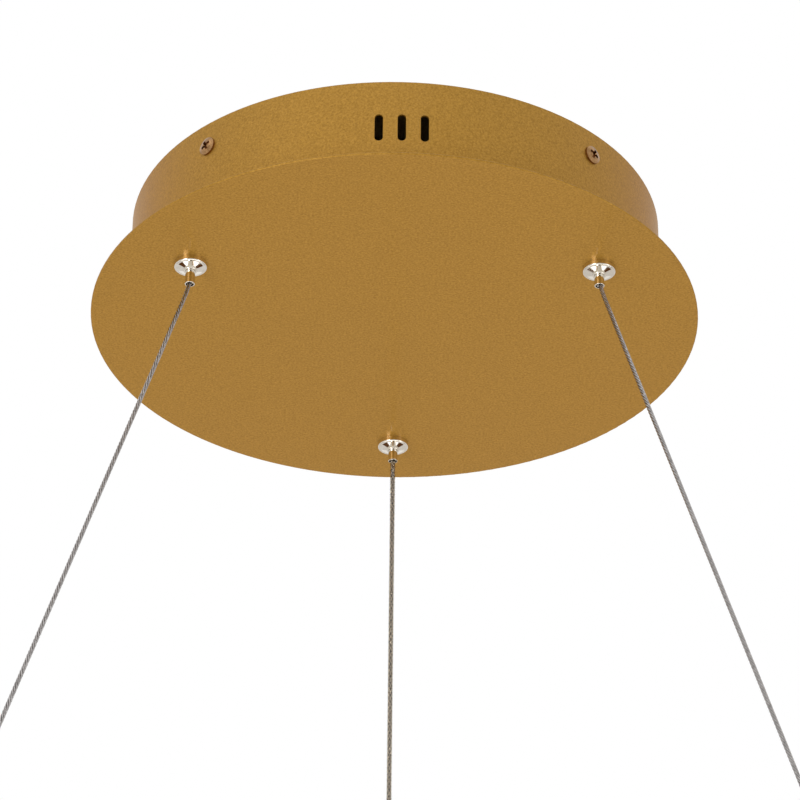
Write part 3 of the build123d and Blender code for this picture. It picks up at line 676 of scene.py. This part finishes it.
@dataclass
class Suspension:
    """The two ropes and the power cable from the grippers' mouths to the ring. Millimetres.

    The pivot is the height at which a wire goes into its anchor. A wire bends over the first
    few millimetres below its mouth, and stands upright for a few above its anchor. The tails
    stand in the grippers from their mouths up, and the ends in the anchors from the pivot down.
    """

    ring_radius: float = 290.0
    pivot: float = -669.1
    upright: float = 4.0
    bend: float = 3.0
    straight: float = 11.0
    travel: float = 300.0
    rope_tail: tuple[float, ...] = (-40.0, -21.0)
    rope_end: tuple[float, ...] = (0.3, 6.0, 13.3)
    cable_end: tuple[float, ...] = (-669.4, -680.0, -692.4)

    def mouth(self, side: Side) -> float:
        """Height of a sleeve's mouth."""
        return MOUTHS[side][0]

    def route(self, side: Side) -> list[Vector]:
        """Points that lead a wire out of its sleeve, on a straight line down, into its anchor."""
        mouth, start, outward = MOUTHS[side]
        top = side.place(GRIPPER_RADIUS + outward, mouth - self.bend)
        foot = side.place(self.ring_radius, self.pivot + self.upright)
        along = (foot - top).normalized() * self.straight * MM
        return [side.place(GRIPPER_RADIUS + start, mouth), top, top + along, foot - along, foot,
                side.place(self.ring_radius, self.pivot)]

    def tail_route(self) -> list[Vector]:
        """Points that lead the cable up through its gripper and round to the driver's output.

        The second one holds the cable upright inside the gripper, where the jaw balls and the
        spring cup would cut it otherwise when the sleeve is pressed.
        """
        rear = Side.REAR.place(GRIPPER_RADIUS, 0.0) / MM
        return points((rear.x, rear.y, self.mouth(Side.REAR)), (rear.x, rear.y, -37.0),
                      (rear.x, rear.y, -20.0), (14.0, rear.y - 3, -12.0),
                      (38.0, rear.y - 17, -12.0), (62.0, 66.0, -13.0), (74.0, 54.0, -14.0),
                      (68.0, 45.0, -14.0), (51.2, 45.0, -14.0))

    def hang(self, piece: bpy.types.Object, side: Side, slot: str, *nodes: str) -> None:
        """Tie a wire to the canopy, hide the CAD nodes that it replaces, and give it its own mesh.
        """
        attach(piece, "canopy")
        if nodes:
            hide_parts(*nodes)
        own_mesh(piece)

    def build(self) -> list[bpy.types.Object]:
        """Build every wire and its ends."""
        rope, cable = StrandedRope(), BraidedCable()
        pieces = []
        for side in (Side.LEFT, Side.RIGHT):
            hanging = rope.build(f"wire_rope_{side.word}", self.route(side))
            self.hang(hanging, side, "steel_rope", f"rope_{side.word}")
            pieces.append(hanging)
        tails, ends = [], []
        for side in (Side.LEFT, Side.RIGHT):
            tails.append(rope.build(f"rope_tail_{side.word}", [
                side.place(GRIPPER_RADIUS, height)
                for height in (self.mouth(side), *self.rope_tail)]))
            ends.append(rope.build(f"rope_end_{side.word}", [
                side.place(self.ring_radius, self.pivot - below) for below in self.rope_end]))
        tail, end = join(*tails), join(*ends)
        tail.name, end.name = "stranded_tails", "stranded_ends"
        for piece, body, node in ((tail, "canopy", "rope_tails"), (end, "light_ring", "rope_ends")):
            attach(piece, body)
            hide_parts(node)
        braid, sheath = cable.build("power", self.route(Side.REAR))
        self.hang(braid, Side.REAR, "braided_cable")
        self.hang(sheath, Side.REAR, "braided_cable", "power_cable")
        for word, route, body, node in (
                ("tail", self.tail_route(), "canopy", "cable_tail"),
                ("end", [Side.REAR.place(self.ring_radius, height) for height in self.cable_end],
                 "light_ring", "cable_end")):
            inside, cover = cable.build(f"cable_{word}", route)
            for piece in (inside, cover):
                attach(piece, body)
            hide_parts(node)
            pieces += [inside, cover]
        return pieces + [tail, end, braid, sheath]


# Each lead's finish, slot and route from the terminal block to the driver's input, or to the
# earth lug. Millimetres.
LEADS = {
    "live": (LEAD_BROWN, "lead_brown", points(
        (-11.0, -40.0, -9.0), (-11.0, -24.0, -9.0), (-32.0, -6.0, -12.0), (-66.0, 6.0, -15.0),
        (-80.0, 26.0, -15.0), (-74.0, 41.0, -14.0), (-51.2, 41.0, -14.0))),
    "neutral": (LEAD_BLUE, "lead_blue", points(
        (0.0, -40.0, -9.0), (0.0, -22.0, -9.0), (-22.0, -3.0, -12.0), (-57.0, 9.0, -15.0),
        (-70.0, 23.0, -15.0), (-66.0, 49.0, -14.0), (-51.2, 49.0, -14.0))),
    "earth": (LEAD_GREEN, "lead_green", points(
        (11.0, -40.0, -9.0), (11.0, -25.0, -9.0), (19.0, -15.0, -7.0), (32.0, -14.0, -4.0),
        (38.0, -24.0, -3.0), (38.0, -36.0, -3.0))),
}


@dataclass
class DriverBay:
    """The insulated leads between the terminal block, the earth lug and the driver. Millimetres."""

    lead_diameter: float = 2.2
    step: float = 1.0

    def build(self) -> list[bpy.types.Object]:
        """Lay the three leads along their routes."""
        pieces = []
        for word, (finish, slot, route) in LEADS.items():
            line = [place for _, place, _, _ in walk(centreline(route), self.step * MM)]
            piece = drawn_wires(f"insulated_{word}", [line], self.lead_diameter / 2 * MM,
                                TEN_SIDES)
            dress(piece, finish)
            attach(piece, "canopy")
            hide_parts(f"{word}_lead")
            pieces.append(piece)
        return pieces


# ---------------------------------------------------------------- studio
def add_plane(name: str, size: float, place: tuple[float, float, float]) -> bpy.types.Object:
    """Add a level square of some size at a place, in metres."""
    bpy.ops.object.select_all(action="DESELECT")
    bpy.ops.mesh.primitive_plane_add(size=size, location=place)
    plane = bpy.context.active_object
    plane.name = name
    return plane


@dataclass
class Lamp:
    """One soft, round lamp that faces the canopy. Metres and watts."""

    name: str
    place: tuple[float, float, float]
    size: float
    watts: float
    colour: str = "#FFFFFF"

    def build(self) -> None:
        """Hang the lamp."""
        light = bpy.data.lights.new(self.name, "AREA")
        light.shape, light.size, light.energy = "DISK", self.size, self.watts
        light.color = linear(self.colour)[:3]
        lamp = bpy.data.objects.new(self.name, light)
        bpy.context.scene.collection.objects.link(lamp)
        lamp.location = self.place
        lamp.rotation_euler = (AIM - lamp.location).to_track_quat("-Z", "Y").to_euler()


@dataclass
class Card:
    """A dark card that only reflections show, as a photographer hangs one beside bright metal."""

    name: str
    place: tuple[float, float, float]
    width: float
    height: float
    colour: str

    def build(self) -> None:
        """Hang the card so that it faces the canopy."""
        card = add_plane(self.name, 1.0, (0.0, 0.0, 0.0))
        turn = (AIM - Vector(self.place)).to_track_quat("Z", "Y").to_matrix().to_4x4()
        shape = Matrix.Diagonal((self.width, self.height, 1.0, 1.0))
        card.data.transform(Matrix.Translation(self.place) @ turn @ shape)
        made = empty_material(self.name)
        shade = add_node(made.node_tree, "ShaderNodeEmission", {
            "Color": linear(self.colour), "Strength": 1.0})
        add_node(made.node_tree, "ShaderNodeOutputMaterial", {"Surface": shade.outputs[0]})
        card.data.materials.append(made)
        card.visible_camera = card.visible_diffuse = False
        card.visible_shadow = card.visible_transmission = False
        bpy.ops.object.select_all(action="DESELECT")


@dataclass
class Studio:
    """Camera, lamps, floor and white surroundings. Metres and degrees, the lens in millimetres.

    The camera stands at a distance from the plate's middle, below it, and is panned, tilted and
    rolled. The fill is how bright the surroundings are for the light that they cast, where 1.0
    is what they show. The floor's shine is how white reflections show the floor.
    """

    lens: float = 154.35
    distance: float = 1.4159
    below: float = 32.08
    pan: float = 0.11
    tilt: float = -1.201
    roll: float = 0.608
    azimuth: float = -1.06
    plate: float = -0.045
    floor: float = -2.4
    floor_size: float = 16.0
    fill: float = 0.55
    floor_shine: float = 0.6

    def build(self) -> None:
        """Set up the studio."""
        self.stand_camera()
        self.light_surroundings()
        self.lay_floor()
        for lamp in (
                Lamp("key_softbox", (-1.7, -2.2, -1.5), 1.4, 30.0),
                Lamp("fill_softbox", (2.2, -1.4, -1.0), 1.2, 8.0),
                Lamp("floor_bounce", (0.0, 0.3, -2.2), 2.4, 20.0),
                Lamp("top_softbox", (-0.8, -1.6, 1.6), 3.0, 6.0)):
            lamp.build()
        for card in (
                Card("front_card", (0.0, -3.2, -1.7), 3.0, 1.5, "#5A4A38"),
                Card("left_card", (-0.8, 1.7, -2.0), 0.7, 0.6, "#5F3D22"),
                Card("right_card", (0.8, 1.7, -2.0), 0.7, 0.6, "#5F3D22")):
            card.build()
        bpy.context.scene.view_settings.view_transform = "Standard"

    def stand_camera(self) -> None:
        """Stand the camera below and in front of the canopy, looking up."""
        rise = math.radians(self.below)
        place = Vector((0.0, -math.cos(rise), -math.sin(rise))) * self.distance
        ahead = -place.normalized()
        across = ahead.cross(UP).normalized()
        ahead = (ahead + math.tan(math.radians(self.pan)) * across
                 + math.tan(math.radians(self.tilt)) * across.cross(ahead)).normalized()
        across = ahead.cross(UP).normalized()
        above = across.cross(ahead)
        turn = math.radians(self.roll)
        right = math.cos(turn) * across + math.sin(turn) * above
        top = -math.sin(turn) * across + math.cos(turn) * above
        stand = Matrix((right, top, -ahead)).transposed().to_4x4()
        stand.translation = place
        lens = bpy.data.cameras.new("camera")
        lens.lens, lens.sensor_width, lens.clip_end = self.lens, 36.0, 60.0
        camera = bpy.data.objects.new("camera", lens)
        bpy.context.scene.collection.objects.link(camera)
        camera.matrix_world = (Matrix.Translation((0.0, 0.0, self.plate))
                               @ Matrix.Rotation(math.radians(self.azimuth), 4, "Z") @ stand)
        bpy.context.scene.camera = camera

    def seen(self, tree: bpy.types.NodeTree) -> bpy.types.NodeSocket:
        """One for camera, glossy and transmission rays, and none for the rest."""
        path = add_node(tree, "ShaderNodeLightPath")
        some = add_node(tree, "ShaderNodeMath", {
            0: path.outputs["Is Camera Ray"], 1: path.outputs["Is Glossy Ray"]},
            operation="MAXIMUM")
        return add_node(tree, "ShaderNodeMath", {
            0: some.outputs[0], 1: path.outputs["Is Transmission Ray"]},
            operation="MAXIMUM").outputs[0]

    def light_surroundings(self) -> None:
        """White surroundings that light the object less than they show."""
        world = bpy.data.worlds.new("surroundings")
        bpy.context.scene.world = world
        world.use_nodes = True
        tree = world.node_tree
        tree.nodes.clear()
        strength = stretch_span(tree, self.seen(tree), FULL_SPAN, self.fill, 1.0)
        white = add_node(tree, "ShaderNodeBackground", {
            "Color": linear("#FFFFFF"), "Strength": strength})
        add_node(tree, "ShaderNodeOutputWorld", {"Surface": white.outputs[0]})

    def lay_floor(self) -> None:
        """Lay a pale floor that shows from above only, and whiter in reflections."""
        floor = add_plane("pale_floor", self.floor_size, (0.0, 0.0, self.floor))
        made = empty_material("pale_floor")
        tree = made.node_tree
        matt = add_node(tree, "ShaderNodeBsdfDiffuse", {"Color": linear("#F2F1EE")})
        white = add_node(tree, "ShaderNodeEmission", {"Color": linear("#F4F0EE"), "Strength": 1.0})
        path = add_node(tree, "ShaderNodeLightPath")
        share = add_node(tree, "ShaderNodeMath", {
            0: path.outputs["Is Glossy Ray"], 1: self.floor_shine}, operation="MULTIPLY")
        pale = add_node(tree, "ShaderNodeMixShader", {
            0: share.outputs[0], 1: matt.outputs[0], 2: white.outputs[0]})
        gone = add_node(tree, "ShaderNodeBsdfTransparent")
        side = add_node(tree, "ShaderNodeNewGeometry")
        mixed = add_node(tree, "ShaderNodeMixShader", {
            0: side.outputs["Backfacing"], 1: pale.outputs[0], 2: gone.outputs[0]})
        add_node(tree, "ShaderNodeOutputMaterial", {"Surface": mixed.outputs[0]})
        floor.data.materials.append(made)
        bpy.ops.object.select_all(action="DESELECT")


def main() -> None:
    """Build the studio and every piece in order."""
    logging.basicConfig(level=logging.INFO, format="%(name)s: %(message)s")
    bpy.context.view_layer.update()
    Studio().build()
    for finish, nodes in NODE_FINISHES.items():
        for name in nodes:
            dress(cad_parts[name], finish)
    springs = [GripSpring(Side.LEFT, -37.487, -31.05, 0.689),
               GripSpring(Side.RIGHT, -37.487, -31.05, 0.689),
               GripSpring(Side.REAR, -35.987, -31.05, 0.595)]
    pieces = [spring.build() for spring in springs]
    pieces += Suspension().build() + DriverBay().build()
    for piece in pieces:
        LOG.info("%s: %d faces", piece.name, len(piece.data.polygons))


if __name__ == "__main__":
    main()
